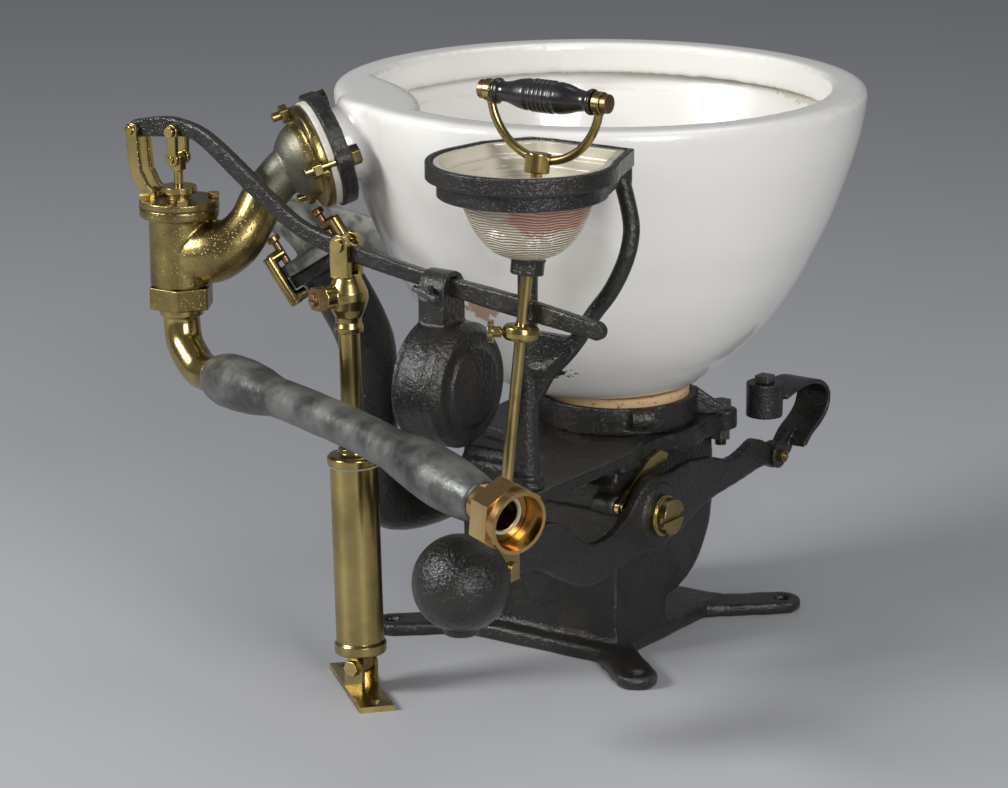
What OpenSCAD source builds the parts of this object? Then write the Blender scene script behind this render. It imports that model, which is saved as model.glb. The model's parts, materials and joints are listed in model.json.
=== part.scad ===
// Valve water closet: glazed basin with flushing rim on a cast-iron valve box, hinged outlet valve with
// ball weight, pull rod and hand cup, and a supply valve closed slowly by a brass cylinder regulator.
// Millimetres. X points to the front of the closet, Z up. The origin is on the floor under the outlet.

/* [Basin] */
// height of the basin rim above the floor
rim_z = 430; // [400:1:460]
// outer radius of the rim
rim_r = 205; // [180:1:220]
// shift of the bowl axis from the outlet, towards the back
bowl_x = -19; // [-30:1:0]
// thickness of the bowl wall
wall = 12; // [8:0.5:16]
// radius of the outlet hole
outlet_r = 42; // [30:1:46]

/* [Valve box] */
// front face of the box
box_x1 = 54; // [44:1:56]
// back face of the box
box_x0 = -88; // [-100:1:-70]
// near face of the box
box_y0 = -84; // [-92:1:-78]
// far face of the box
box_y1 = 60; // [50:1:66]
// underside of the cover plate
box_z = 152; // [148:1:154]
// radius of the soil outlet in the base
soil_r = 40; // [34:1:42]
// half spacing of the floor holes along the closet
lug_x = 113; // [105:1:120]
// half spacing of the floor holes across the closet
lug_y = 109; // [100:1:120]
// wall of the castings
iron_t = 8; // [5:0.5:12]

/* [Outlet valve] */
// height of the valve shaft
shaft_z = 118; // [112:1:122]
// position of the valve shaft across the box
shaft_y = -68; // [-70:1:-60]
// radius of the valve shaft
shaft_r = 8; // [6:0.5:10]
// plane of the weighted lever
lever_x = 76; // [74:0.5:80]
// thickness of the weighted lever
lever_t = 9; // [6:0.5:12]
// radius of the ball weight
ball_r = 35; // [28:0.5:38]

/* [Pull rod] */
// radius of the pull rod
rod_r = 4.2; // [3:0.1:6]
// length of the grip
grip_l = 82; // [70:1:110]
// radius of the lifting collar on the rod
collar_r = 13.5; // [11:0.5:16]

/* [Supply lever] */
// plane of the supply lever
sup_y = -246.5; // [-250:0.5:-244]
// thickness of the supply lever
sup_t = 8; // [5:0.5:10]
// radius of the drum weight
drum_r = 46; // [36:1:50]
// thickness of the drum weight
drum_t = 40; // [25:1:44]

/* [Regulator] */
// outer radius of the regulator barrel
barrel_r = 18; // [14:0.5:20]
// bore radius of the regulator barrel
barrel_bore = 15; // [10:0.5:17]
// radius of the plunger tube
tube_r = 8; // [6:0.5:10]

/* [Supply valve] */
// axis of the supply valve
valve_x = -234; // [-238:1:-230]
// top of the valve cover
cover_z = 357; // [350:1:360]
// radius of the valve body
body_r = 23; // [18:0.5:26]
// radius of the valve spindle
spindle_r = 3.5; // [2.5:0.1:5]
// radius of the small hinge pins
pin_r = 2.5; // [2:0.1:3]
// running clearance round pins and spindles
run = 0.06; // [0.02:0.01:0.1]

/* [Hidden] */
$fn = 64;
gap = 0.3;
bowl_y = 3;
iron = [0.13, 0.13, 0.13];
brass = [0.66, 0.52, 0.22];
white = [0.93, 0.93, 0.90];
lead = [0.36, 0.38, 0.36];
rust = [0.45, 0.25, 0.18];

// general helpers

// vector length and the rotation that turns +Z onto a direction
function len3(v) = norm(v);
function turn(v) = [0, acos(v[2] / len3(v)), atan2(v[1], v[0])];

// round bar from point a to point b
module bar(a, b, r, r2 = undef) {
  translate(a) rotate(turn(b - a)) cylinder(h = len3(b - a), r1 = r, r2 = is_undef(r2) ? r : r2);
}

// round bar that follows a list of points, with round knees
module run_bar(p, r) {
  for (i = [0 : len(p) - 2]) bar(p[i], p[i + 1], r);
  for (i = [1 : len(p) - 2]) translate(p[i]) sphere(r = r);
}

// smooth tube through a list of points: one radius a point, n sides, ref a direction the path never takes
function unit(v) = v / norm(v);
module sweep(p, r, n, ref) {
  m = len(p);
  t = [for (i = [0 : m - 1]) unit(p[min(i + 1, m - 1)] - p[max(i - 1, 0)])];
  pts = [for (i = [0 : m - 1]) let (u = unit(cross(t[i], ref)), w = cross(t[i], u))
    for (k = [0 : n - 1]) p[i] + (is_list(r) ? r[i] : r) * (cos(360 * k / n) * u + sin(360 * k / n) * w)];
  polyhedron(points = pts, convexity = 6, faces = concat(
    [[for (k = [0 : n - 1]) k]], [[for (k = [0 : n - 1]) m * n - 1 - k]],
    [for (i = [0 : m - 2], k = [0 : n - 1]) let (a = i * n + k, b = i * n + (k + 1) % n)
      each [[a, b + n, b], [a, a + n, b + n]]]));
}

// things drawn along Z, set at point a and pointing along v
module aim(a, v) { translate(a) rotate(turn(v)) children(); }

// flat plate in a plane of constant Y: outline in X and Z
module plate_xz(p, y, t) {
  translate([0, y + t / 2, 0]) rotate([90, 0, 0]) linear_extrude(height = t) polygon(p);
}

// flat plate in a plane of constant X: outline in Y and Z
module plate_yz(p, x, t) {
  translate([x - t / 2, 0, 0]) rotate([90, 0, 90]) linear_extrude(height = t) polygon(p);
}

// disc or pin along Y and along X
module disc_y(x, y, z, r, t) { translate([x, y + t / 2, z]) rotate([90, 0, 0]) cylinder(h = t, r = r); }
module disc_x(x, y, z, r, t) { translate([x - t / 2, y, z]) rotate([0, 90, 0]) cylinder(h = t, r = r); }

// hexagonal nut along Z
module hexagon(r, h) { cylinder(h = h, r = r, $fn = 6); }

// smooth curve through a few points
function cubic(a, b, c, d, t) =
  0.5 * (2 * b + (c - a) * t + (2 * a - 5 * b + 4 * c - d) * t * t + (3 * b - a - 3 * c + d) * t * t * t);
function smooth(p, n) = concat([for (i = [0 : len(p) - 2], k = [0 : n - 1])
  cubic(p[max(i - 1, 0)], p[i], p[i + 1], p[min(i + 2, len(p) - 1)], k / n)], [p[len(p) - 1]]);

// basin

seat_z = 196;
// the bowl swells with its rim
rr = rim_r / 205;
bowl = [[60, seat_z], [81 * rr, 200], [109 * rr, 223], [133 * rr, 248], [154 * rr, 279], [169 * rr, 309],
  [182 * rr, 338], [199 * rr, rim_z - 40], [rim_r, rim_z - 6]];
horn_p = [bowl_x - rim_r * 122 / 205, bowl_y - rim_r * 171 / 205, rim_z - 35];
horn_v = [-0.589, -0.754, -0.289] / norm([-0.589, -0.754, -0.289]);
neck_r = 29;
stud_r = 3.4;
function along(t) = horn_p + t * horn_v;

module bowl_out() {
  rotate_extrude($fn = 120) polygon(concat([[0, seat_z]], smooth(bowl, 4),
    [for (a = [0 : 22.5 : 90]) [rim_r - 6 + 6 * cos(a), rim_z - 6 + 6 * sin(a)]], [[0, rim_z]]));
}
module bowl_in() {
  rotate_extrude($fn = 120) polygon(concat([[0, seat_z + 9]],
    [for (q = smooth([for (i = [1 : 8]) bowl[i] - [wall, i == 1 ? -9 : i == 8 ? 20 : 0]], 4)) q],
    [[0, rim_z - 26]]));
}
module rim_hollow() {
  // channel behind the flushing lip, and the mouth of the bowl inside the rim
  rotate_extrude($fn = 120) polygon([[rim_r - 22, rim_z - 28], [rim_r - wall, rim_z - 28],
    [rim_r - wall, rim_z - 9], [rim_r - 22, rim_z - 9]]);
  translate([0, 0, rim_z - 28]) cylinder(h = 40, r = rim_r - 28, $fn = 120);
}
module basin() {
  color(white) difference() {
    union() {
      difference() {
        union() {
          translate([bowl_x, bowl_y, 0]) bowl_out();
          bar(along(-37), along(-8), 56, neck_r);
          bar(along(-8.6), along(20), neck_r);
          translate([0, 0, seat_z - 14]) cylinder(h = 15, r = 44.5);
        }
        translate([bowl_x, bowl_y, 0]) { bowl_in(); rim_hollow(); }
        bar(along(-8) - [0, 0, 3], along(-8) + [40, 51, -3], 15);
      }
      // spreader deck over the water inlet
      intersection() {
        translate([-291, -310, rim_z - 12]) cylinder(h = 12, r = 265);
        translate([bowl_x, bowl_y, 0]) cylinder(h = 500, r = rim_r - 4);
      }
    }
    bar(along(-12), along(30), 18);
    translate([0, 0, seat_z - 30]) cylinder(h = 60, r = outlet_r - 1);
    translate([-300, -300, rim_z]) cube([600, 600, 60]);
  }
}

// seat of the basin

module ring(z, h, r1, r2) { translate([0, 0, z]) difference() {
  cylinder(h = h, r = r2); translate([0, 0, -1]) cylinder(h = h + 2, r = r1); } }

module cork_ring() { color([0.62, 0.42, 0.25]) ring(178, seat_z - 178, 45, 57); }
module basin_collar() { color(iron) union() {
  ring(178, 12, 57.2, 62); ring(168, 10, 45, 62);
  rotate([0, 0, 40]) plate_xz([[61, box_z + 16], [84, box_z + 16], [84, 174], [63, 190], [61, 190]], 0, 10);
  rotate([0, 0, -40]) difference() {
    union() {
      translate([57, -9, 176]) cube([14, 18, 12]);
      translate([67, 9.5, 182]) rotate([90, 0, 0]) cylinder(h = 19, r = 5.5);
    }
    cylinder(h = 400, r = 57.2);
  }
} }

// valve box

drain_y = -10;
drain_z = 100;
cover_p = [[56, 66], [-90, 66], [-90, -52]];
module box_section(e) {
  // outline of the box across its length: a round bottom corner on the far side, drawn in Y and Z
  polygon(concat([[box_y0 + e, 12 + e], [box_y1 - 70 - e, 12 + e], [box_y1 - 70 - e, 32.2 + e]],
    [for (a = [-86 : 8 : 2]) [box_y1 - 66 + (66 - e) * cos(min(a, 0)), 98 + (66 - e) * sin(min(a, 0))]],
    [[box_y1 - e, box_z + 10], [box_y0 + e, box_z + 10]]));
}
module box_solid(e) {
  intersection() {
    translate([box_x0 + e, 0, 0]) rotate([90, 0, 90])
      linear_extrude(height = box_x1 - box_x0 - 2 * e) box_section(e);
    translate([-200, -200, 12]) cube([400, 400, box_z - 12]);
  }
}
base_c = [-17, -12];
lugs = [for (i = [-1, 1], j = [-1, 1]) base_c + [i * lug_x, j * lug_y]];
module lug(p) {
  q = [p[0] > 0 ? 34 : -66, p[1] > 0 ? 42 : -66];
  difference() {
    hull() for (c = [p, q]) translate([c[0], c[1], 0]) cylinder(h = 10, r = 16, $fn = 32);
    translate([p[0], p[1], -1]) cylinder(h = 12, r = 5.5);
  }
}
module valve_box() { color(iron) difference() {
  union() {
    box_solid(0);
    translate([base_c[0] - 80, base_c[1] - 86, 0]) cube([155, 172, 12]);
    // neck of the soil outlet
    translate([base_c[0], base_c[1], 6]) cylinder(h = 60, r = soil_r + 6);
    for (p = lugs) lug(p);
    // near shoulder under the plate
    translate([box_x0, 0, 0]) rotate([90, 0, 90]) linear_extrude(height = box_x1 - box_x0)
      polygon([[box_y0, 118], [box_y0 - 8, 121], [box_y0 - 8, 140], [box_y0 + 14, box_z], [box_y0 + 14, 118]]);
    // boss round the shaft
    disc_x(box_x1, shaft_y, shaft_z, 19, 8);
    translate([box_x1 - 10, catch_y, catch_z - 7]) cube([20, 20, 14]);
    translate([box_x1 - 10, catch_y, catch_z]) rotate([0, 90, 0]) cylinder(h = 20, r = 8);
  }
  difference() {
    box_solid(iron_t);
    translate([box_x0, box_y0, 0]) cube([200, 200, 19]);
  }
  translate([box_x0 + iron_t, box_y0 + iron_t, box_z - 6])
    cube([box_x1 - box_x0 - 2 * iron_t, box_y1 - box_y0 - 2 * iron_t, 20]);
  translate([base_c[0], base_c[1], -1]) cylinder(h = 62, r = soil_r);
  disc_x(box_x1, shaft_y, shaft_z, shaft_r + 4, 40);
  disc_x(0, shaft_y, shaft_z, shaft_r + 5, 26);
  translate([box_x0 + iron_t, shaft_y, shaft_z]) rotate([0, 90, 0])
    cylinder(h = box_x1 - box_x0 - 2 * iron_t, r = shaft_r + 0.6);
  // clearance for the nuts of the cover
  for (p = cover_p) translate([p[0], p[1], box_z - 15.8]) cylinder(h = 20, r = 8.6);
  translate([box_x1, catch_y, catch_z]) rotate([0, 90, 0]) cylinder(h = 30, r = pin_r);
  disc_x(box_x0, drain_y, drain_z, 18, 30);
  translate([box_x0 + 3, shaft_y, shaft_z]) rotate([0, 90, 0]) cylinder(h = 20, r = shaft_r + run);
} }
module cover_plate() { color(iron) difference() {
  union() {
    translate([-98, -60, box_z]) cube([162, 134, 16]);
    translate([0, 0, box_z]) cylinder(h = 16, r = 70);
    for (p = cover_p) translate([p[0], p[1], box_z]) cylinder(h = 16, r = 13);
    // wide tapered carrier of the cup standard
    translate([0, 0, box_z + 10]) linear_extrude(height = 10) polygon([[46, -216], [74, -216], [74, -96], [62, -56],
      [-88, -56], [-88, -84], [-20, -104], [28, -150]]);
    translate([post[0], post[1], box_z + 10]) cylinder(h = 10, r = 14);
    translate([-88, -90, box_z]) cube([151, 40, 12]);
  }
  translate([0, 0, box_z - 1]) cylinder(h = 60, r = outlet_r);
  for (p = cover_p) translate([p[0], p[1], box_z - 1]) cylinder(h = 40, r = 4.5);
  // flat round the seat and under the bolt heads
  translate([0, 0, box_z + 16]) cylinder(h = 10, r = 88);
  for (p = cover_p) translate([p[0], p[1], box_z + 16]) cylinder(h = 10, r = 11);
} }
module cover_bolts() { color(iron) for (p = cover_p)
  translate([p[0], p[1], 0]) {
    translate([0, 0, box_z + 16]) hexagon(9, 6);
    translate([0, 0, box_z - 14]) cylinder(h = 30, r = 4.5);
    translate([0, 0, box_z - 9]) hexagon(8.2, 9);
  } }

// outlet valve

module shaft_bush() { color(brass) difference() {
  disc_x(box_x1 + 3.1, shaft_y, shaft_z, shaft_r + 4, 22.2);
  disc_x(box_x1 + 3.1, shaft_y, shaft_z, shaft_r + run, 30);
} }
module valve_shaft() { color(iron) translate([box_x0 + 3 + gap, shaft_y, shaft_z]) rotate([0, 90, 0])
  cylinder(h = lever_x + 14 - box_x0 - 3 - gap, r = shaft_r); }
module flap_arm() { color(iron) difference() {
  union() {
    disc_x(0, shaft_y, shaft_z, shaft_r + 4, 22);
    plate_yz([[shaft_y, 106], [shaft_y + 10, 108], [6, 132], [6, 136], [-20, 136], [shaft_y, 131]], 0, 12);
  }
  disc_x(0, shaft_y, shaft_z, shaft_r, 40);
} }
module flap_disc() { color(iron) translate([0, 0, 136]) cylinder(h = 8, r = outlet_r + 3); }
module flap_leather() { color([0.36, 0.22, 0.13]) translate([0, 0, 144]) cylinder(h = box_z - 144 - gap,
  r = outlet_r + 2); }
arm_e = -304;
arm_top = 146;
arm_low = 120;
wl_pts = concat([[arm_e, arm_top]], smooth([[-280, arm_top], [-249, 145], [-220, 148], [-199, 143], [-178, 128],
  [-158, 117],  [-135, 116], [-120, 120], [-104, 129], [-90, 141], [-78, 147]], 3));
wl_far = smooth([[-40, 145], [-18, 147], [15, 143], [41, 135], [62, 137], [82, 142], [104, 133]], 3);
wl_low = smooth([[106, 113], [92, 117], [49, 113], [2, 108], [-40, 94]], 3);
wl_low2 = smooth([[-96, 90], [-124, 88], [-146, 85], [-169, 87], [-199, 100], [-222, 113], [-249, 120],
  [-280, arm_low]], 3);
module weight_lever() { color(iron) difference() {
  union() {
    plate_yz(concat(wl_pts, wl_far, wl_low, wl_low2, [[arm_e, arm_low]]), lever_x, lever_t);
    disc_x(lever_x - 1, shaft_y, shaft_z, 29, lever_t + 4);
    disc_x(lever_x + 2, shaft_y, shaft_z, 24, lever_t + 4);
    disc_x(lever_x, 113, 122, 11, lever_t);
  }
  disc_x(lever_x, shaft_y, shaft_z, shaft_r, 60);
  disc_x(lever_x, 113, 122, pin_r, 40);
  disc_x(lever_x, fork_y, fork_z, fork_r + 0.9, 40);
} }
module ball_weight() { color(iron) union() {
  difference() {
    translate([lever_x + 2, -327, 132.5]) sphere(r = ball_r);
    translate([lever_x - lever_t / 2, arm_e, arm_low]) cube([lever_t, 40, arm_top - arm_low]);
  }
  translate([lever_x + 2, -327, 132.5 - ball_r - 2.5]) cylinder(h = 8, r = 13);
} }
module hub_nut() { color(brass) difference() {
  union() {
    disc_x(lever_x + 10, shaft_y, shaft_z, 16, 3);
    disc_x(lever_x + 15.5, shaft_y, shaft_z, 14, 8);
  }
  disc_x(lever_x, shaft_y, shaft_z, shaft_r, 28);
  translate([lever_x + 16.5, shaft_y - 20, shaft_z - 2]) cube([10, 40, 4]);
} }

// curled strap at the far end of the lever, with its barrel and square-headed screw
st = [[113, 122], [123, 127], [135, 137], [150, 144], [161, 153], [163, 165], [153, 175], [136, 180],
  [116, 180], [94.5, 176]];
function offs(p, d) = [for (i = [0 : len(p) - 1])
  let (v = p[min(i + 1, len(p) - 1)] - p[max(i - 1, 0)]) p[i] + d * [-v[1], v[0]] / norm(v)];
st_c = smooth(st, 4);
sx = lever_x + lever_t / 2 + gap + 12;
module lever_strap() { color(iron) difference() {
  union() {
    intersection() {
      plate_yz(concat(offs(st_c, 2), [for (i = [0 : len(st_c) - 1]) offs(st_c, -2)[len(st_c) - 1 - i]]),
        sx - 8, 30);
      union() {
        translate([sx - 12, 96, 100]) cube([3.5, 40, 42]);
        plate_yz([[122.8, 128.4], [142, 131], [200, 130], [200, 200], [60, 200], [60, 163],
          [142, 163], [142, 150], [132, 141]], sx - 8, 30);
      }
    }
    disc_x(sx - 10.25, 113, 122, 10.5, 3.5);
    plate_yz([[110, 131], [128, 120], [143, 136], [136, 143]], sx - 10.25, 3.5);
    translate([sx - 8, 84, 162]) cylinder(h = 27, r = 14.5);
  }
  disc_x(sx, 113, 122, pin_r + run, 60);
  translate([sx - 8, 84, 156]) cylinder(h = 24, r = 9);
  translate([sx - 8, 84, 161]) cylinder(h = 40, r = 3.5);
} }
module strap_screw() { color(iron) union() {
  translate([sx - 8, 84, 176]) cylinder(h = 13, r = 3.5);
  translate([sx - 14, 78, 189]) cube([12, 12, 6]);
} }
module strap_pin() { color([0.6, 0.35, 0.25]) union() {
  disc_x(lever_x + 3, 113, 122, pin_r, lever_t + 8 + 5);
  disc_x(sx - 6.2, 113, 122, 5, 4);
} }
catch_x = box_x1 + 12.4;
catch_y = -99;
catch_z = 129;
module catch() { color(brass) difference() {
  union() {
    disc_x(catch_x, catch_y, catch_z, 6, 3.6);
    plate_yz([[-101, 134], [-94, 125], [-62, 147], [-36, 149], [-33, 156], [-44, 161], [-60, 157.5]],
      catch_x, 3.6);
    disc_x(catch_x, -36, 151, 2.5, 3.6);
  }
  disc_x(catch_x, catch_y, catch_z, pin_r + run, 30);
} }
module catch_pin() { color(brass) union() {
  translate([box_x1, catch_y, catch_z]) rotate([0, 90, 0]) cylinder(h = 15, r = pin_r);
  translate([catch_x + 2.1, catch_y, catch_z]) rotate([0, 90, 0]) cylinder(h = 1.6, r = 3.6);
} }

// hand cup and its standard

// flat back of the cup, just clear of the rim
cup_back = bowl_y - rim_r + 12;
post = [60, -216];
cup_c = [88, -258];
rod_a = [79, -282, 130];
rod_b = [88, -246, 420];
rod_v = (rod_b - rod_a) / norm(rod_b - rod_a);
function on_rod(z) = rod_a + rod_v * (z - rod_a[2]) / rod_v[2];
fer = on_rod(350);

module cup_standard() { color(iron) union() {
  standard_arm();
  cup_ferrule();
  translate([post[0], post[1], 172]) rotate_extrude() polygon(concat([[0, 0], [12, 0]],
    [[13, 2], [13, 4], [11, 6], [12.5, 8], [12.5, 10], [9.5, 12], [9, 20], [7.6, 70], [7.4, 100], [7.4, 184],
      [0, 184]]));
  // arm that holds the ferrule over the rod
  difference() {
    bar([post[0], post[1], 348.5], [fer[0], fer[1], 348.5], 5);
    translate([fer[0], fer[1], 320]) cylinder(h = 60, r = 8);
  }
} }
arm_p = [[60, -216, 262], [78, -214, 264], [96, -211, 283], [110, -208, 306], [124, -205, 326],
  [134, -202, 349], [136, -198, 370], [130, cup_back - 4, 388], [122, cup_back, 404]];
module standard_arm() { union() {
  sweep(smooth(arm_p, 4), 6.2, 16, [0, 1, 0]);
  translate([122, cup_back, 401]) cylinder(h = 13.4, r = 8);
  plate_xz([[60, 232], [66, 232], [80, 256], [100, 279], [94, 290], [60, 290]], -214, 7.7);
} }
module d_shape(e) {
  union() {
    translate([90, -268]) circle(r = 68 - e, $fn = 96);
    polygon([[22.5 + e, -262], [27 + e, -228], [48 + e, cup_back - 3 - e], [66, cup_back - e],
      [133 - 0.8 * e, cup_back - e],
      [147 - e, -230], [157.5 - e, -262]]);
  }
}
module d_ring(z, h, e1, e2) { translate([0, 0, z]) linear_extrude(height = h) difference() {
  d_shape(e1); d_shape(e2); } }
module cup_ring() { color(iron) difference() {
  union() {
    d_ring(414.4, 12.6, 0, 5);
    d_ring(414.4, 2.4, 0, 13);
    d_ring(402, 12.5, 8, 13);
    translate([122, cup_back, 414.4]) cylinder(h = 8, r = 8);
  }
  translate([0, 0, 416.8]) linear_extrude(height = 20) d_shape(5);
} }
cup_prof = [[13, 356], [22, 359], [31, 366], [39, 377], [45, 390], [49, 403]];
module cup() { color(white) difference() {
  union() {
    translate([0, 0, 416.8]) linear_extrude(height = 9.2) d_shape(5.3);
    translate([0, 0, 403]) linear_extrude(height = 14) d_shape(13.3);
    translate([cup_c[0], cup_c[1], 0]) rotate_extrude()
      polygon(concat([[0, 356]], smooth(cup_prof, 4), [[49, 405], [0, 405]]));
  }
  translate([cup_c[0], cup_c[1], 0]) rotate_extrude() polygon(concat([[0, 361]],
    smooth([[12, 362], [26, 368], [34, 379], [40, 391], [44.5, 404]], 4), [[49, 412], [0, 412]]));
  translate([0, 0, 409]) linear_extrude(height = 30) d_shape(17);
  translate([0, 0, 417]) linear_extrude(height = 30) d_shape(11);
  translate([on_rod(356)[0], on_rod(356)[1], 340]) cylinder(h = 40, r = rod_r + 3);
} }
module cup_ferrule() { aim(on_rod(342.5), rod_v) difference() {
  union() {
    cylinder(h = 11.5, r = 12);
    translate([0, 0, 10.5]) cylinder(h = 1.2, r = 13);
  }
  translate([0, 0, -5]) cylinder(h = 30, r = rod_r + run);
} }

// pull rod

module pull_rod() { color(brass) bar(on_rod(149), on_rod(426), rod_r); }
fork_y = -274;
fork_z = 130;
fork_r = 3;
fork_g = 1;
module rod_fork() { color(brass) difference() {
  union() {
    for (x = [lever_x - lever_t / 2 - fork_g - 4, lever_x + lever_t / 2 + fork_g])
      translate([x, -289, 120]) cube([4, 25, 32.5]);
    translate([lever_x - lever_t / 2 - fork_g - 4, -289, 152]) cube([lever_t + 2 * fork_g + 8, 25, 6]);
    bar(on_rod(155), on_rod(172), 8, 6);
  }
  aim(on_rod(130), rod_v) cylinder(h = 60, r = rod_r);
  disc_x(lever_x, fork_y, fork_z, fork_r, 60);
} }
module fork_pin() { color(brass) union() {
  disc_x(lever_x, fork_y, fork_z, fork_r, lever_t + 2 * fork_g + 12);
  disc_x(lever_x + lever_t / 2 + fork_g + 5.5, fork_y, fork_z, 5.5, 3);
} }
col_z = 295.8;
module lift_collar() { color(brass) difference() {
  aim(on_rod(col_z), rod_v) rotate_extrude() polygon([[rod_r, 0], [11, 0], [13, 2], [collar_r, 5.5],
    [13, 9], [11, 11], [rod_r, 11]]);
  aim(on_rod(col_z + 5.5), [-0.8, -0.45, 0]) cylinder(h = 30, r = 2.5);
} }
module collar_screw() { color(brass) union() {
  aim(on_rod(col_z + 5.5) + 4.6 * [-0.872, -0.49, 0], [-0.8, -0.45, 0]) union() {
    cylinder(h = 16, r = 2.5);
    translate([0, 0, 9.5]) cylinder(h = 6, r = 4);
    translate([0, 0, 15]) cylinder(h = 4, r = 8.5, $fn = 20);
  }
} }
gc = [92, -243, 468];
bail_r = grip_l / 2 + 4.4;
wire_r = 3.2;
module bail() { color(brass) difference() {
  union() {
    translate(gc) rotate([-90, 0, 0]) rotate_extrude(angle = 180) translate([bail_r, 0]) circle(r = wire_r);
    for (s = [-1, 1]) disc_x(gc[0] + s * bail_r, gc[1], gc[2], 8, 2 * wire_r);
    aim(on_rod(414), rod_v) cylinder(h = 14, r = 9);
  }
  aim(on_rod(400), rod_v) cylinder(h = 26.3, r = rod_r);
  disc_x(gc[0], gc[1], gc[2], 3.5, 160);
} }
grip_end = smooth([[8.6, 0], [9.2, 1], [9.2, 3], [7.8, 4.6], [7.2, 8], [8.3, 14], [10.4, 21], [11.4, 28]], 3);
module grip() { color([0.06, 0.05, 0.05]) translate([gc[0] - grip_l / 2, gc[1], gc[2]]) rotate([0, 90, 0])
  difference() {
    // flanged ends, two bulbs and five rings between them
    rotate_extrude() polygon(concat([[0, 0]], grip_end,
      [for (i = [-2 : 2]) let (m = grip_l / 2 + 3.6 * i) each [[10.4, m - 1.8], [11.8, m - 1], [11.8, m + 1]]],
      [[10.4, grip_l / 2 + 9]],
      [for (i = [len(grip_end) - 1 : -1 : 0]) [grip_end[i][0], grip_l - grip_end[i][1]]], [[0, grip_l]]));
    translate([0, 0, -1]) cylinder(h = grip_l + 2, r = 3.5 + run);
  }
}
module grip_nuts() { color(brass) union() {
  disc_x(gc[0], gc[1], gc[2], 3.5, 2 * (bail_r + wire_r) + 5);
  for (s = [-1, 1]) disc_x(gc[0] + s * (bail_r + wire_r + 2.4), gc[1], gc[2], 6.8, 4.8);
} }

// supply lever

// heights over the valve cover: fulcrum, link pin of the lever, fork pin of the spindle
fx = -272; fz = cover_z + 49.5;
ln_x = valve_x; ln_z = cover_z + 52;
sp_z = cover_z + 31;
cl_x = -79; cl_z = 342;
// the lever falls from the fulcrum to the clevis pin: w is 1 at the one height and 0 at the other
function fall(w) = cl_z + (fz - cl_z) * w;
lv_top = smooth([[-275, fall(1.101)], [-250, fall(1.178)], [-231, fall(1.178)], [-207, fall(1.085)],
  [-179, fall(0.822)], [-147, fall(0.465)], [-120, fall(0.202)], [-93, fall(0.078)], [-48, 338], [5, 330], [65, 324],
  [140, 313]], 3);
lv_bot = smooth([[138, 301], [57, 310], [-30, 323], [-84, 332], [-118, 341], [-155, fall(0.31)], [-189, fall(0.682)],
  [-217, fall(0.961)], [-240, fall(0.961)], [-275, fall(0.899)]], 3);
module supply_lever() { color(iron) difference() {
  union() {
    plate_xz(concat(lv_top, lv_bot), sup_y, sup_t);
    disc_y(139, sup_y, 307, 6.6, sup_t);
    disc_y(fx, sup_y, fz, 7, sup_t);
  }
  disc_y(fx, sup_y, fz, pin_r + run, 30);
  disc_y(ln_x, sup_y, ln_z, pin_r, 30);
  disc_y(cl_x, sup_y, cl_z, pin_r, 30);
} }
dw_x = 13; dw_z = 251;
module drum_weight() { color(iron) difference() {
  union() {
    translate([dw_x - drum_t / 2, sup_y, dw_z]) rotate([0, 90, 0]) rotate_extrude($fn = 96) polygon([[0, 0],
      [drum_r - 3, 0], [drum_r, 3], [drum_r, drum_t - 6], [drum_r - 6, drum_t], [30, drum_t],
      [28, drum_t + 3], [0, drum_t + 4]]);
    translate([dw_x - 18, sup_y - 14, 288]) cube([22, 28, 32]);
    disc_x(dw_x - 7, sup_y, 320, 14, 22);
  }
  plate_xz([for (q = lv_top) if (q[0] > -60 && q[0] < 70) q + [0, 0.3], [66, 308.4], [-60, 327]],
    sup_y, sup_t + 0.6);
  disc_y(dw_x - 7, sup_y - 12, 320, 3, 16);
} }
module weight_screw() { color(iron) union() {
  disc_y(dw_x - 7, sup_y - sup_t / 2 - 9.5, 320, 3, 17);
  disc_y(dw_x - 7, sup_y - 20, 320, 5.5, 5);
  disc_z_bar();
} }
module disc_z_bar() { bar([dw_x - 17, sup_y - 20.5, 323], [dw_x + 3, sup_y - 20.5, 317], 2.6); }
module lever_pins() { color(brass) union() {
  clevis_pin_shape();
  disc_y(ln_x, sup_y, ln_z, pin_r, 19.5);
  disc_y(ln_x, sup_y - 10.7, ln_z, 4, 2);
} }

// regulator

rf = [-69, sup_y, 20];
rt = [cl_x, sup_y, cl_z];
rg_v = (rt - rf) / norm(rt - rf);
rg_tilt = atan2(rt[0] - rf[0], rt[2] - rf[2]);
module reg() { translate(rf) rotate([0, rg_tilt, 0]) children(); }
module regulator_foot() { color(brass) difference() {
  union() {
    translate([rf[0], rf[1], 0]) rotate([0, 0, -41]) translate([-52, -13, 0]) cube([104, 26, 4.5]);
    for (s = [-1, 1]) {
      translate([rf[0] - 8, rf[1] + s * 8.3 - 2, 0]) cube([16, 4, rf[2]]);
      disc_y(rf[0], rf[1] + s * 8.3, rf[2], 8, 4);
    }
  }
  for (s = [-42, 42]) translate([rf[0], rf[1], 0]) rotate([0, 0, -41]) translate([s, 0, -1]) {
    cylinder(h = 10, r = 2.6);
    translate([0, 0, 2.6]) cylinder(h = 3, r1 = 2.6, r2 = 5.5);
  }
  disc_y(rf[0], rf[1], rf[2], pin_r + 1, 40);
} }
module foot_pin() { color(brass) union() {
  disc_y(rf[0], rf[1], rf[2], pin_r + 1, 20.6);
  translate([rf[0], rf[1] - 10.3, rf[2]]) rotate([90, 0, 0]) hexagon(6.5, 4);
} }
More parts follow.
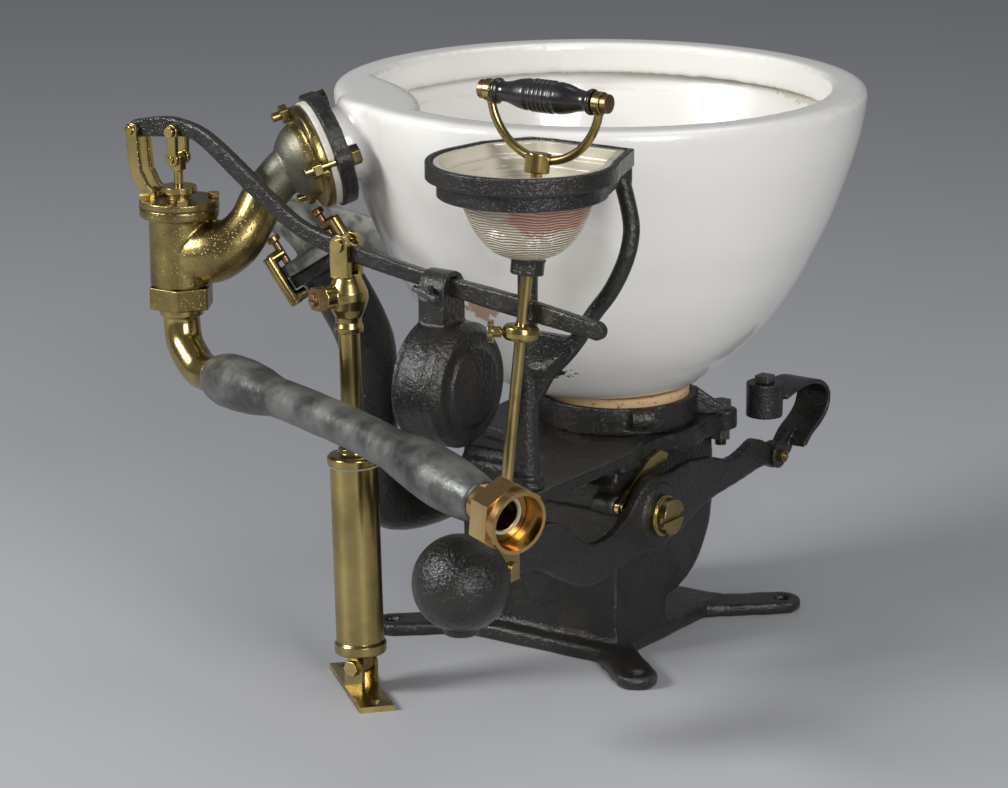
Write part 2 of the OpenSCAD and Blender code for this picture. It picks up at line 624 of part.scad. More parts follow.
module barrel() { color(brass) reg() difference() {
  union() {
    translate([0, 0, 10]) rotate_extrude() polygon([[0, 0], [barrel_r, 0], [barrel_r + 1.6, 1.5],
      [barrel_r + 1.6, 8], [barrel_r, 10], [barrel_r, 146], [0, 146]]);
    translate([-7, -6, 0]) cube([14, 12, 12]);
    rotate([90, 0, 0]) translate([0, 0, -6]) cylinder(h = 12, r = 7);
  }
  translate([0, 0, 18]) cylinder(h = 140, r = barrel_bore);
  rotate([90, 0, 0]) translate([0, 0, -20]) cylinder(h = 40, r = pin_r + 1 + run);
} }
module barrel_cap() { color(brass) reg() difference() {
  translate([0, 0, 156]) rotate_extrude() polygon([[0, 0], [barrel_r + 1.8, 0], [barrel_r + 1.8, 6],
    [barrel_r, 8], [12, 9], [11, 13], [0, 13]]);
  translate([0, 0, 150]) cylinder(h = 30, r = tube_r + run);
} }
module plunger() { color(brass) reg() union() {
  translate([0, 0, 110]) cylinder(h = 150, r = tube_r);
  translate([0, 0, 104]) cylinder(h = 14, r = barrel_bore - run);
} }
module regulator_head() { color(brass) reg() difference() {
  union() {
    translate([0, 0, 256]) rotate_extrude() polygon([[0, 0], [10.5, 0], [11, 4], [9.5, 8],
      [10, 12], [13, 18], [15.3, 25], [15, 31], [12, 38], [9, 44], [0, 46]]);
    translate([0, 0, 284]) rotate([90, 0, -25]) cylinder(h = 21, r = 9);
    for (s = [-1, 1]) {
      translate([-8, s * 7.3 - 2.8, 298]) cube([16, 5.6, norm(rt - rf) - 298]);
      translate([0, s * 7.3 + 2.8, norm(rt - rf)]) rotate([90, 0, 0]) cylinder(h = 5.6, r = 8);
    }
  }
  translate([-20, -4.5, 302]) cube([40, 9, 60]);
  translate([0, 0, 250]) cylinder(h = 10, r = tube_r);
  translate([0, 40, norm(rt - rf)]) rotate([90, 0, 0]) cylinder(h = 80, r = pin_r + 0.3);
  translate([0, 0, 284]) rotate([90, 0, -25]) translate([0, 0, 10]) cylinder(h = 27, r = 5);
} }
module head_screw() { color([0.72, 0.5, 0.3]) reg() union() {
  translate([0, 0, 284]) rotate([90, 0, -25]) difference() {
    union() {
      translate([0, 0, 21]) hexagon(9.5, 7);
      translate([0, 0, 10.3]) cylinder(h = 11, r = 5 - run);
      translate([0, 0, 28]) cylinder(h = 2.5, r = 5);
    }
    translate([-8, -1, 28.8]) cube([16, 2, 4]);
  }
} }
module clevis_pin_shape() { reg() union() {
  translate([0, 10.4, norm(rt - rf)]) rotate([90, 0, 0]) cylinder(h = 20.8, r = pin_r);
  translate([0, -10.4, norm(rt - rf)]) rotate([90, 0, 0]) cylinder(h = 2.2, r = 5);
} }

// supply valve

vc = [valve_x, sup_y, 0];
out_p = [[-230, -245, 315], [-208, -239, 318], [-192, -231, 327], [-184, -222, 342], [-178, -213, 361],
  along(40)];
out_r = [21, 22, 23, 23.5, 23.5, 23, 22, 21, 20, 19, 18.3, 17.6];
module supply_body() { color(brass) difference() {
  union() {
    translate(vc + [0, 0, 291]) cylinder(h = cover_z - 5 - 291, r = body_r);
    translate(vc + [0, 0, cover_z - 13]) cylinder(h = 8, r = body_r + 7);
    sweep(concat(smooth(out_p, 4), [along(25)]), [for (i = [0 : 21]) i < 12 ? out_r[i] : 17], 24, [0.2, -1, 0.4]);
    aim(along(22), horn_v) rotate_extrude() polygon([[0, 0], [30, 0], [30, 6], [28.5, 12], [25, 18], [20, 23], [16, 26],
      [0, 26]]);
    bar(along(27.2), along(20.4), neck_r + 11);
    translate(vc + [0, 0, 276]) cylinder(h = 16, r = 17);
  }
  translate(vc + [0, 0, 270]) cylinder(h = 60, r = 12);
  translate(vc + [0, 0, 322]) cylinder(h = 60, r = body_r - 5);
  sweep(concat([[-234, -246, 314]], smooth(out_p, 4), [along(10)]), concat([for (i = [0 : 21]) 12], [26]), 24,
    [0.2, -1, 0.4]);
  for (a = [0 : 120 : 359]) aim(along(10) + stud(a), horn_v) cylinder(h = 18, r = stud_r);
} }
function stud(a) = let (u = cross(horn_v, [0, 0, 1]) / norm(cross(horn_v, [0, 0, 1])), w = cross(u, horn_v))
  (neck_r + 9) * (cos(a + 60) * u + sin(a + 60) * w);
module valve_cover() { color(brass) difference() {
  union() {
    translate(vc + [0, 0, cover_z - 5]) cylinder(h = 5, r = body_r + 7);
    translate(vc + [0, 0, cover_z]) cylinder(h = 5, r = 9);
  }
  translate(vc + [0, 0, cover_z - 10]) cylinder(h = 40, r = spindle_r + run);
  for (a = [45, 135, 225, 315]) translate(vc + [26 * cos(a), 26 * sin(a), cover_z - 8]) cylinder(h = 20, r = 2.4);
} }
module cover_screws() { color([0.7, 0.5, 0.3]) for (a = [45, 135, 225, 315])
  translate(vc + [26 * cos(a), 26 * sin(a), cover_z - 5]) { cylinder(h = 5, r = 2.4);
    translate([0, 0, 5]) hexagon(4.6, 4); } }
module fulcrum_bracket() { color(brass) union() {
  fulcrum_pin();
  bracket();
} }
module bracket() { difference() {
  union() {
    for (s = [-1, 1]) {
      translate([0, 0, cover_z]) plate_xz(concat(smooth([[-277, 49], [-276, 35], [-274, 19], [-268, 7], [-261, 3]], 3), [[-261, 0], [-250, 0],
        [-251, 4.5], [-258, 9], [-264, 19], [-266, 35], [-267, 49]]), sup_y + s * 6.8, 4.6);
      disc_y(fx, sup_y + s * 6.8, fz, 5.6, 4.6);
    }
    translate([-262, sup_y - 9, cover_z]) cube([11, 18, 4]);
  }
  disc_y(fx, sup_y, fz, pin_r, 40);
  for (a = [45, 135, 225, 315]) translate(vc + [26 * cos(a), 26 * sin(a), cover_z - 8]) cylinder(h = 20, r = 5.2);
} }
module fulcrum_pin() { union() {
  disc_y(fx, sup_y, fz, pin_r, 20.4);
  disc_y(fx, sup_y - 11.2, fz, 3.4, 2.4);
} }
module gland_nut() { color(brass) difference() {
  translate(vc + [0, 0, cover_z + 5]) cylinder(h = 5, r = 13.5);
  translate(vc + [0, 0, cover_z]) cylinder(h = 40, r = spindle_r + run);
} }
module spindle() { color(brass) union() {
  translate(vc + [0, 0, cover_z - 31]) cylinder(h = 58, r = spindle_r);
  translate(vc + [0, 0, cover_z - 31]) cylinder(h = 6, r = 14);
  difference() {
    union() {
      translate(vc + [-4.5, -3.5, sp_z - 9]) cube([9, 7, 9]);
      disc_y(valve_x, sup_y, sp_z, 4.5, 7);
    }
    disc_y(valve_x, sup_y, sp_z, pin_r, 20);
  }
  disc_y(valve_x, sup_y, sp_z, pin_r, 19.5);
} }
module links() { color(brass) difference() {
  for (s = [-1, 1]) {
    translate([valve_x - 4, sup_y + s * 6.6 - 2, sp_z]) cube([8, 4, ln_z - sp_z]);
    disc_y(valve_x, sup_y + s * 6.6, sp_z, 5.5, 4);
    disc_y(valve_x, sup_y + s * 6.6, ln_z, 5.5, 4);
  }
  disc_y(valve_x, sup_y, sp_z, pin_r + run, 40);
  disc_y(valve_x, sup_y, ln_z, pin_r + 0.35, 40);
} }
module inlet_nut() { color(brass) difference() {
  translate(vc + [0, 0, 274]) hexagon(25.5, 17);
  translate(vc + [0, 0, 270]) cylinder(h = 40, r = 17);
} }
el_p = [[valve_x, sup_y, 275], [valve_x, sup_y, 262], [-230, -249, 248], [-220, -253, 238],
  [-207, -257, 229.8], [-188, -263.6, 230]];
module inlet_elbow() { color(brass) difference() {
  union() {
    sweep(smooth(el_p, 3), 14, 24, [0, -1, -0.1]);
    translate(vc + [0, 0, 268]) cylinder(h = 7.8, r = 16.8);
  }
  sweep(concat([[valve_x, sup_y, 300]], smooth(el_p, 3), [[-178, -267, 229.7]]), 10, 24, [0, -1, -0.1]);
} }
lp = [[-187.6, -263.7, 230], [-132, -283, 231], [-70, -305, 231], [-10, -325, 228], [48, -345, 222],
  [92, -361, 216], [128, -373.5, 211.6]];
function bulge(c, w, h, t) = h * max(0, 1 - pow((t - c) / w, 2));
lp_s = smooth(lp, 6);
lp_n = len(lp_s) - 1;
module lead_pipe() { color(lead) difference() {
  sweep(lp_s, [for (i = [0 : lp_n]) 15 + bulge(0.09, 0.13, 5.5, i / lp_n) + bulge(0.8, 0.2, 5.5, i / lp_n)
    - 2 * bulge(0, 0.04, 1, i / lp_n)], 24, [0, 0.3, 1]);
  sweep(concat([lp[0] - [8, -3, 0]], [for (q = lp) q], [lp[6] + 8 * unit(lp[6] - lp[5])]), 10.5, 16, [0, 0.3, 1]);
} }
nut_d = (lp[6] - lp[5]) / norm(lp[6] - lp[5]);
module union_tail() { color(brass) difference() {
  union() {
    bar(lp[6], lp[6] + 23 * nut_d, 14);
    bar(lp[6] + 21 * nut_d, lp[6] + 25 * nut_d, 19);
  }
  bar(lp[6] - 2 * nut_d, lp[6] + 40 * nut_d, 11);
} }
module union_nut() { color(brass) difference() {
  aim(lp[6] + 16.5 * nut_d, nut_d) union() { hexagon(26, 18); cylinder(h = 25.5, r = 22.4); }
  bar(lp[6], lp[6] + 60 * nut_d, 14 + run);
  bar(lp[6] + 20.7 * nut_d, lp[6] + 60 * nut_d, 19.3);
  bar(lp[6] + 25.4 * nut_d, lp[6] + 60 * nut_d, 19.7);
} }

// joint at the flushing horn

module horn_ring() { color(iron) difference() {
  union() {
    bar(along(3), along(15), neck_r + 14);
    for (a = [0 : 120 : 359]) aim(along(3) + stud(a), horn_v) cylinder(h = 12, r = 9);
  }
  bar(along(-34), along(24), neck_r + gap);
  for (a = [0 : 120 : 359]) aim(along(-20) + stud(a), horn_v) cylinder(h = 60, r = stud_r);
} }
module horn_gasket() { color(white) difference() {
  bar(along(15), along(20.4), neck_r + 12);
  bar(along(0), along(40), neck_r + gap);
  for (a = [0 : 120 : 359]) aim(along(-20) + stud(a), horn_v) cylinder(h = 60, r = stud_r);
} }
module horn_studs() { color(brass) union() {
  for (a = [0 : 120 : 359]) aim(along(-4) + stud(a), horn_v) union() {
    cylinder(h = 44, r = stud_r);
    hexagon(8, 7);
    translate([0, 0, 31.2]) hexagon(7.5, 6);
  }
} }

// overflow

of_f = [-168, -158, 303];
of_v = unit([0.52, 0.18, -0.835]);
oa_p = [[-158, -62, 298], [-185, -72, 303], [-210, -88, 312], [-222, -115, 322], [-214.7, -145.5, 327.5],
  of_f - 36 * of_v + [-7.8, 4.9, -3.8], of_f - 20 * of_v, of_f - 6 * of_v];
module overflow_arm() { color([0.72, 0.72, 0.68]) difference() {
  union() {
    sweep(smooth(oa_p, 3), 14.5, 20, [0.5, 0.3, 0.81]);
    bar(of_f - 10 * of_v, of_f, 30);
  }
  translate([bowl_x, bowl_y, 0]) bowl_out();
} }
tr_p = [of_f + 8 * of_v, [-150, -151, 272], [-138, -146, 246], [-134, -144, 220], [-134, -142, 136],
  [-132, -128, 110], [-128, -94, 100], [-124, -40, drain_z], [-113, -15, drain_z], [box_x0, drain_y, drain_z]];
module overflow_trap() { color(iron) difference() {
  union() {
    bar(of_f + 0.4 * of_v, of_f + 10 * of_v, 30);
    sweep(smooth(tr_p, 3), 22, 24, [1, -1, 0.3]);
    translate([box_x0 - 7, drain_y, drain_z]) rotate([0, 90, 0]) cylinder(h = 7, r = 30);
  }
  sweep(concat([tr_p[0] - 12 * of_v], smooth(tr_p, 3), [[box_x0 + 8, drain_y, drain_z]]), 17, 24, [1, -1, 0.3]);
  translate([box_x0, box_y0, box_z - 120]) cube([40, 140, 120]);
} }
function cl_at(a) = let (u = cross(of_v, [0, 1, 0]) / norm(cross(of_v, [0, 1, 0])), w = cross(u, of_v))
  cos(a) * u + sin(a) * w;
module clamp(a) {
  d = cl_at(a);
  rr = 30.2;
  bar(of_f + (rr + 5) * d - 22 * of_v, of_f + (rr + 5) * d + 20 * of_v, 4.8);
  bar(of_f + (rr - 8) * d - 19 * of_v, of_f + (rr + 5) * d - 19 * of_v, 4.5);
  bar(of_f + (rr - 6.8) * d + 15.3 * of_v, of_f + (rr + 5) * d + 15.3 * of_v, 4.5);
}
module trap_clamps() { color(brass) for (a = [95, 230, 350]) difference() {
  clamp(a);
  bar(of_f - 40 * of_v + 24 * cl_at(a), of_f + 0 * of_v + 24 * cl_at(a), 3);
} }
module clamp_screws() { color([0.6, 0.35, 0.22]) for (a = [95, 230, 350]) union() {
  bar(of_f - 30 * of_v + 24 * cl_at(a), of_f - 10.3 * of_v + 24 * cl_at(a), 3);
  bar(of_f - 34 * of_v + 24 * cl_at(a), of_f - 29 * of_v + 24 * cl_at(a), 5.5);
} }

basin();
cork_ring();
basin_collar();
cover_plate();
cover_bolts();
valve_box();
shaft_bush();
valve_shaft();
flap_arm();
flap_disc();
flap_leather();
weight_lever();
ball_weight();
hub_nut();
lever_strap();
strap_screw();
strap_pin();
catch();
catch_pin();
cup_standard();
cup_ring();
cup();
pull_rod();
rod_fork();
fork_pin();
lift_collar();
collar_screw();
bail();
grip();
grip_nuts();
supply_lever();
drum_weight();
weight_screw();
lever_pins();
regulator_foot();
foot_pin();
barrel();
barrel_cap();
plunger();
regulator_head();
head_screw();
supply_body();
valve_cover();
cover_screws();
fulcrum_bracket();
gland_nut();
spindle();
links();
inlet_nut();
inlet_elbow();
lead_pipe();
union_tail();
union_nut();
horn_ring();
horn_gasket();
horn_studs();
overflow_arm();
overflow_trap();
trap_clamps();
clamp_screws();
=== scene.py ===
import json
import math
import bpy
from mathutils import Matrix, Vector

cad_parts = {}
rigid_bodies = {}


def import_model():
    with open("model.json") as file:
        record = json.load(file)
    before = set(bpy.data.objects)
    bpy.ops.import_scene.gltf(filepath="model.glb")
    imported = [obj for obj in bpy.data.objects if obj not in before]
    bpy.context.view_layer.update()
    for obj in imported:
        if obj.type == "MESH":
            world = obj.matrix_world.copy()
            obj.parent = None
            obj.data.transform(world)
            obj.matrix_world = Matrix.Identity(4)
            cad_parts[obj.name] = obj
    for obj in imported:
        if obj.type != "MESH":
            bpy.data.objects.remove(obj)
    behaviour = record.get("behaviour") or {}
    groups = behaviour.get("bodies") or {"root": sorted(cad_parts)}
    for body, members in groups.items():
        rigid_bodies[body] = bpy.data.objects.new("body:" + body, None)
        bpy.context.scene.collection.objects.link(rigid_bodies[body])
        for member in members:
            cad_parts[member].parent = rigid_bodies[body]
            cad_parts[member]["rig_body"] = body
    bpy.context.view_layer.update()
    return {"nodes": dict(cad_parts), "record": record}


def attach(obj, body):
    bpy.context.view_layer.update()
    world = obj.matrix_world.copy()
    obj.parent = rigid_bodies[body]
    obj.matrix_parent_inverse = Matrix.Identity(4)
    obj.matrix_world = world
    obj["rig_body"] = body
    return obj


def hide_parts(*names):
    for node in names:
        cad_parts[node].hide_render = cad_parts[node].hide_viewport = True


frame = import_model()
scene = bpy.context.scene
print("CAD nodes:", len(frame["nodes"]))

# %% [markdown]
# ## Camera
# The closet is seen from its front right corner, a little from above. A short lens close by would stretch the
# round basin towards the edge of the picture. A long lens from nearly three metres away keeps it round, so the
# camera is given a fixed place and two turns, which is easier to check than a tracking constraint.

# %% Camera
lens_mm, sensor_mm = 132.1, 36.0
eye = (1.48826, -2.36381, 0.93851)
tilt, heading = 74.9, 34.0
cam_data = bpy.data.cameras.new("camera")
cam_data.lens = lens_mm
cam_data.sensor_width = sensor_mm
camera = bpy.data.objects.new("camera", cam_data)
scene.collection.objects.link(camera)
camera.location = eye
camera.rotation_euler = (math.radians(tilt), 0, math.radians(heading))
scene.camera = camera
print("camera at", [round(v, 3) for v in eye])


# %% [markdown]
# ## Picking and editing
# An operator works on whatever is selected, and the CAD pieces come in selected. So each step first picks its
# own object and nothing else. These four helpers do that, and go in and out of edit mode.

# %% Helpers for picking and editing
def deselect():
    for o in bpy.context.selected_objects:
        o.select_set(False)
    bpy.context.view_layer.objects.active = None


def select_only(obj, *others):
    deselect()
    for o in (obj, *others):
        o.select_set(True)
    bpy.context.view_layer.objects.active = obj


def edit(obj, mode="VERT"):
    select_only(obj)
    bpy.ops.object.mode_set(mode="EDIT")
    bpy.ops.mesh.select_mode(type=mode)
    bpy.ops.mesh.select_all(action="SELECT")


def done():
    bpy.ops.object.mode_set(mode="OBJECT")


# %% [markdown]
# ## Floor
# The closet stands on a plain matt floor. A curved backdrop could hide the line where floor meets wall, but
# from a camera that looks down, one wide plane fills the picture and the far part simply grows dim.

# %% Floor
floor_size = 9
deselect()
bpy.ops.mesh.primitive_plane_add(size=floor_size, location=(0, 0, 0))
floor = bpy.context.object
floor.name = "floor"
print("floor:", floor_size, "m square")


# %% [markdown]
# ## Lights
# Glaze and polished brass are told by what they mirror. Small lamps would give hard dots, so each lamp is a
# softbox, a large square of light. The key stands at the left, above the supply valve, and draws the bright
# line down the barrel. The fill opens the side with the union, and a weak one from above parts the rim from
# the background. The world adds a dim grey all round, which keeps the black iron from turning flat.

# %% Lights
def softbox(name, at, size, watts, height=None):
    data = bpy.data.lights.new(name, "AREA")
    data.shape = "RECTANGLE"
    data.size, data.size_y = size, height or size
    data.energy = watts
    lamp = bpy.data.objects.new(name, data)
    scene.collection.objects.link(lamp)
    lamp.location = at
    lamp.rotation_euler = (Vector(middle) - Vector(at)).to_track_quat("-Z", "Y").to_euler()
    return lamp


middle = (0, -0.08, 0.22)
softbox("key", (-1.5, -2.2, 1.7), 0.9, 74)
softbox("fill", (2.5, -1.8, 1.5), 1.1, 68, height=1.5)
softbox("top", (0.3, 0.6, 2.5), 1.2, 7)

world_grey, world_strength = (0.17, 0.175, 0.19, 1), 0.9
world = bpy.data.worlds.new("studio")
scene.world = world
world.use_nodes = True
world.node_tree.nodes["Background"].inputs["Color"].default_value = world_grey
world.node_tree.nodes["Background"].inputs["Strength"].default_value = world_strength
scene.view_settings.view_transform = "Standard"


# %% [markdown]
# ## Shader groups
# Old metal, cork and glaze need the same few things: a colour that drifts from place to place, a fine grain,
# and wear where corners are rubbed. Each of these is built once as a node group with named inputs and placed
# in every finish with its own values. Copying the nodes into each material would work too, but a change would
# then have to be made a dozen times.

# %% Helpers for groups and nodes
FLOAT, COLOR, VECTOR = "NodeSocketFloat", "NodeSocketColor", "NodeSocketVector"


def shader_group(name, inputs, outputs):
    tree = bpy.data.node_groups.new(name, "ShaderNodeTree")
    for label, kind, value in inputs:
        socket = tree.interface.new_socket(label, in_out="INPUT", socket_type=kind)
        socket.default_value = value
    for label, kind in outputs:
        tree.interface.new_socket(label, in_out="OUTPUT", socket_type=kind)
    return tree, tree.nodes.new("NodeGroupInput"), tree.nodes.new("NodeGroupOutput")


def node(tree, kind, **sockets):
    """A shader node; each value goes to the socket of that name, or else to the setting of that name."""
    n = tree.nodes.new("ShaderNode" + kind)
    for key, value in sockets.items():
        target = key.replace("_", " ")
        if target in n.inputs.keys():
            n.inputs[target].default_value = value
        else:
            setattr(n, key, value)
    return n


# %% [markdown]
# ### Drift
# No old surface has one colour. Noise on Object coordinates, cut by a soft threshold, gives patches of a
# second colour. Amount says how much of the surface the patches take, and Contrast how soft their edge is.
# Object coordinates hold the pattern still while a piece moves.

# %% Drift: two colours that mix in soft patches
drift, gi, go = shader_group("Drift", [
    ("Scale", FLOAT, 20.0), ("Color A", COLOR, (1, 1, 1, 1)), ("Color B", COLOR, (0, 0, 0, 1)),
    ("Amount", FLOAT, 0.5), ("Contrast", FLOAT, 0.15)], [("Color", COLOR), ("Mask", FLOAT)])
place = node(drift, "TexCoord")
noise = node(drift, "TexNoise", Detail=6.0, Roughness=0.6)
ramp = node(drift, "MapRange", clamp=True)
low_edge = node(drift, "Math", operation="SUBTRACT")
high_edge = node(drift, "Math", operation="ADD")
threshold = node(drift, "Math", operation="SUBTRACT")
threshold.inputs[0].default_value = 1.0
blend = node(drift, "Mix", data_type="RGBA")
link = drift.links.new
link(place.outputs["Object"], noise.inputs["Vector"])
link(gi.outputs["Scale"], noise.inputs["Scale"])
link(gi.outputs["Amount"], threshold.inputs[1])
link(threshold.outputs[0], low_edge.inputs[0])
link(gi.outputs["Contrast"], low_edge.inputs[1])
link(threshold.outputs[0], high_edge.inputs[0])
link(gi.outputs["Contrast"], high_edge.inputs[1])
link(noise.outputs["Fac"], ramp.inputs["Value"])
link(low_edge.outputs[0], ramp.inputs["From Min"])
link(high_edge.outputs[0], ramp.inputs["From Max"])
link(ramp.outputs["Result"], blend.inputs["Factor"])
link(gi.outputs["Color A"], blend.inputs["A"])
link(gi.outputs["Color B"], blend.inputs["B"])
link(blend.outputs["Result"], go.inputs["Color"])
link(ramp.outputs["Result"], go.inputs["Mask"])
print("group:", drift.name)

# %% [markdown]
# ### Skin
# A sand casting keeps the print of its mould: soft lumps, a fine grain and a few pits. Two noises and the cell
# distance of a Voronoi texture are added to one height, which a Bump node turns into shading. Larger lumps are
# made in the mesh itself, further down, because bump never changes an outline.

# %% Skin: lumps, grain and pits as one height
pit_cells = 480.0
pit_floor, pit_edge = 0.05, 0.3
skin, gi, go = shader_group("Skin", [
    ("Lump Scale", FLOAT, 60.0), ("Grain Scale", FLOAT, 400.0), ("Grain", FLOAT, 0.4),
    ("Pits", FLOAT, 0.3)], [("Height", FLOAT)])
place = node(skin, "TexCoord")
lumps = node(skin, "TexNoise", Detail=3.0)
grain = node(skin, "TexNoise", Detail=2.0)
cells = node(skin, "TexVoronoi", Scale=pit_cells)
pit = node(skin, "MapRange", clamp=True)
pit.inputs["From Min"].default_value, pit.inputs["From Max"].default_value = pit_floor, pit_edge
with_grain = node(skin, "Math", operation="MULTIPLY_ADD")
with_pits = node(skin, "Math", operation="MULTIPLY_ADD")
link = skin.links.new
for texture in (lumps, grain, cells):
    link(place.outputs["Object"], texture.inputs["Vector"])
link(gi.outputs["Lump Scale"], lumps.inputs["Scale"])
link(gi.outputs["Grain Scale"], grain.inputs["Scale"])
link(grain.outputs["Fac"], with_grain.inputs[0])
link(gi.outputs["Grain"], with_grain.inputs[1])
link(lumps.outputs["Fac"], with_grain.inputs[2])
link(cells.outputs["Distance"], pit.inputs["Value"])
link(pit.outputs["Result"], with_pits.inputs[0])
link(gi.outputs["Pits"], with_pits.inputs[1])
link(with_grain.outputs[0], with_pits.inputs[2])
link(with_pits.outputs[0], go.inputs["Height"])
print("group:", skin.name)


# %% [markdown]
# ### Torn edges
# Wear and stains never end in a clean line. Both of the next groups need the same step: noise around zero,
# times how torn the edge is, added to the value that makes the mask. The step is a helper, and each group
# places it once.

# %% Helper for a torn edge
def torn(tree, place, amount, value, noise):
    """The value with noise added, so that a mask cut from it has a torn edge."""
    shift = node(tree, "Math", operation="SUBTRACT")
    shift.inputs[1].default_value = 0.5
    add = node(tree, "Math", operation="MULTIPLY_ADD")
    tree.links.new(place.outputs["Object"], noise.inputs["Vector"])
    tree.links.new(noise.outputs["Fac"], shift.inputs[0])
    tree.links.new(shift.outputs[0], add.inputs[0])
    tree.links.new(amount, add.inputs[1])
    tree.links.new(value, add.inputs[2])
    return add.outputs[0]


# %% [markdown]
# ### Wear
# Hands and rags rub the corners of metal bright. Pointiness, from the Geometry node, is above one half on
# outer corners, so a range of it marks them. A painted mask would do the same for one piece, but this one
# follows every piece by itself.

# %% Wear: rubbed corners, with a torn edge
wear, gi, go = shader_group("Wear", [
    ("Start", FLOAT, 0.52), ("End", FLOAT, 0.62), ("Tear", FLOAT, 0.08)], [("Mask", FLOAT)])
geometry = node(wear, "NewGeometry")
place = node(wear, "TexCoord")
noise = node(wear, "TexNoise", Scale=90.0, Detail=4.0)
ramp = node(wear, "MapRange", clamp=True)
link = wear.links.new
link(torn(wear, place, gi.outputs["Tear"], geometry.outputs["Pointiness"], noise), ramp.inputs["Value"])
link(gi.outputs["Start"], ramp.inputs["From Min"])
link(gi.outputs["End"], ramp.inputs["From Max"])
link(ramp.outputs["Result"], go.inputs["Mask"])
print("group:", wear.name)

# %% [markdown]
# ### Spot
# Some marks are in one place only: a smear of putty, a line of scale, a dark bell on a bright valve. The
# distance from a centre, divided by a size along each axis, is one on the edge of an ellipsoid. Inside it the
# mask is one. A texture painted on the piece would need its surface unwrapped first, and this needs nothing.

# %% Spot: a torn patch round one place
spot_edge, spot_full = 1.0, 0.85
spot, gi, go = shader_group("Spot", [
    ("Centre", VECTOR, (0, 0, 0)), ("Size", VECTOR, (0.01, 0.01, 0.01)), ("Tear", FLOAT, 0.9),
    ("Tear Scale", FLOAT, 120.0)], [("Mask", FLOAT)])
place = node(spot, "TexCoord")
away = node(spot, "VectorMath", operation="SUBTRACT")
ratio = node(spot, "VectorMath", operation="DIVIDE")
distance = node(spot, "VectorMath", operation="LENGTH")
noise = node(spot, "TexNoise", Detail=4.0)
ramp = node(spot, "MapRange", clamp=True)
ramp.inputs["From Min"].default_value, ramp.inputs["From Max"].default_value = spot_edge, spot_full
link = spot.links.new
link(place.outputs["Object"], away.inputs[0])
link(gi.outputs["Centre"], away.inputs[1])
link(away.outputs["Vector"], ratio.inputs[0])
link(gi.outputs["Size"], ratio.inputs[1])
link(ratio.outputs["Vector"], distance.inputs[0])
link(gi.outputs["Tear Scale"], noise.inputs["Scale"])
link(torn(spot, place, gi.outputs["Tear"], distance.outputs["Value"], noise), ramp.inputs["Value"])
link(ramp.outputs["Result"], go.inputs["Mask"])
print("group:", spot.name)

# %% [markdown]
# ### Ribs
# The outside of the hand cup was combed on the wheel. Height over the floor, divided by the pitch and folded
# back and forth, gives level ridges, and noise bends them as a hand would. Ridges in the mesh would need half
# a million faces for the same lines.

# %% Ribs: fine level lines, uneven as if combed by hand
ribs, gi, go = shader_group("Ribs", [
    ("Pitch", FLOAT, 0.002), ("Wander", FLOAT, 0.0012)], [("Height", FLOAT)])
place = node(ribs, "TexCoord")
split = node(ribs, "SeparateXYZ")
noise = node(ribs, "TexNoise", Scale=45.0, Detail=3.0)
bend = node(ribs, "Math", operation="MULTIPLY_ADD")
turns = node(ribs, "Math", operation="DIVIDE")
wave = node(ribs, "Math", operation="PINGPONG")
wave.inputs[1].default_value = 0.5
link = ribs.links.new
link(place.outputs["Object"], split.inputs["Vector"])
link(place.outputs["Object"], noise.inputs["Vector"])
link(noise.outputs["Fac"], bend.inputs[0])
link(gi.outputs["Wander"], bend.inputs[1])
link(split.outputs["Z"], bend.inputs[2])
link(bend.outputs[0], turns.inputs[0])
link(gi.outputs["Pitch"], turns.inputs[1])
link(turns.outputs[0], wave.inputs[0])
link(wave.outputs[0], go.inputs["Height"])
print("shader groups:", [g.name for g in bpy.data.node_groups])


# %% [markdown]
# ## Finishes
# Each finish is a Principled material with some of the groups in front of it. A small class keeps the nodes
# at hand, so that a finish reads as a few lines: place a group, mix a colour, set a range of roughness.
# The same could be wired by hand in the shader editor.

# %% A finish with the groups at hand
class Finish:
    """A Principled material; color is what its Base Color shows so far."""

    def __init__(self, name, metallic=0.0, coat=0.0):
        self.mat = bpy.data.materials.new(name)
        self.mat.use_nodes = True
        self.tree = self.mat.node_tree
        self.shader = self.tree.nodes["Principled BSDF"]
        self.shader.inputs["Metallic"].default_value = metallic
        self.shader.inputs["Coat Weight"].default_value = coat

    def place(self, group, **values):
        g = self.tree.nodes.new("ShaderNodeGroup")
        g.node_tree = group
        for key, value in values.items():
            s = g.inputs[key.replace("_", " ")]
            s.default_value = (*value, 1) if s.type == "RGBA" else value
        return g

    def link(self, out, target):
        self.tree.links.new(out, self.shader.inputs[target] if isinstance(target, str) else target)

    def mix(self, factor, a, b):
        m = node(self.tree, "Mix", data_type="RGBA")
        self.link(factor, m.inputs["Factor"])
        for side, value in (("A", a), ("B", b)):
            if isinstance(value, tuple):
                m.inputs[side].default_value = (*value, 1)
            else:
                self.link(value, m.inputs[side])
        return m.outputs["Result"]

    def paint(self, color):
        self.color = color
        self.link(color, "Base Color")

    def rough(self, mask, low, high):
        r = node(self.tree, "MapRange")
        r.inputs["To Min"].default_value, r.inputs["To Max"].default_value = low, high
        self.link(mask, r.inputs["Value"])
        self.link(r.outputs["Result"], "Roughness")

    def bump(self, height, strength, distance):
        b = node(self.tree, "Bump", Strength=strength, Distance=distance)
        self.link(height, b.inputs["Height"])
        self.link(b.outputs["Normal"], "Normal")


BLACK, WHITE = (0, 0, 0), (1, 1, 1)

